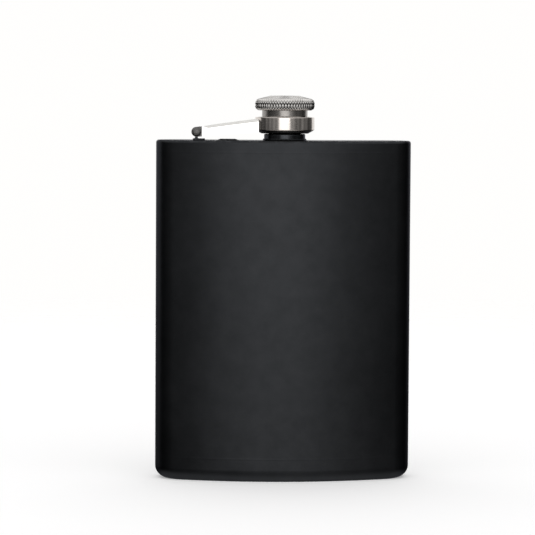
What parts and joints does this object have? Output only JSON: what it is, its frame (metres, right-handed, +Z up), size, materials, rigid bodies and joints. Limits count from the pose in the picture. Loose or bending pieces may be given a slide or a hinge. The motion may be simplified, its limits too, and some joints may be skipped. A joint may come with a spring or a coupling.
{
  "type": "hip flask",
  "caption": "Curved pocket hip flask in black coated steel, with a knurled screw cap held captive by a hinged arm on the shoulder.",
  "frame": {"origin": "on the table, under the middle of the flask's bounding box", "axes": "+X to the flask's right with the bulged front facing the viewer, -Y out of the bulged front, +Z up along the cap's axis"},
  "size_m": [0.095, 0.026, 0.1426],
  "materials": {
    "black_coat": "satin black plating with a fine orange peel",
    "spout_steel": "turned, bare at the thread, coated black at the collar",
    "knurled_steel": "diamond knurled",
    "turned_steel": "bright turned and polished",
    "polished_steel": "mirror polished stainless",
    "insert_plastic": "moulded",
    "seal_silicone": "matt silicone"
  },
  "bodies": {
    "flask": {"body_wall": "black_coat", "side_seam_weld": "black_coat", "base_pan": "black_coat", "base_seam_weld": "black_coat", "top_plate": "black_coat", "top_seam_weld": "black_coat", "spout": "spout_steel", "spout_weld": "black_coat", "rest_pad": "black_coat", "hinge_bracket": "black_coat", "bracket_welds": "black_coat"},
    "arm": {"captive_arm": "polished_steel", "hinge_pin": "polished_steel", "ring_shell": "turned_steel", "closing_ring": "turned_steel"},
    "seal": {"cap_gasket": "seal_silicone"},
    "cap": {"cap_head": "knurled_steel", "cap_sleeve": "turned_steel", "retaining_flange": "turned_steel", "thread_insert": "insert_plastic"}
  },
  "joints": [
    {"name": "arm_hinge", "type": "hinge", "parent": "flask", "child": "arm", "pos_m": [-0.0327, -0.0018, 0.129], "axis": [0, -1, 0], "range_deg": [0, 120]},
    {"name": "cap_lift", "type": "slide", "parent": "arm", "child": "seal", "axis": [0, 0, 1], "range_m": [0, 0.003]},
    {"name": "cap_spin", "type": "hinge", "parent": "seal", "child": "cap", "pos_m": [0, -0.0018, 0.1371], "axis": [0, 0, 1], "range_deg": [0, 720]}
  ],
  "couplings": [
    {"joint": "cap_lift", "follows": "cap_spin", "m_per_rad": 0.00023873}
  ]
}
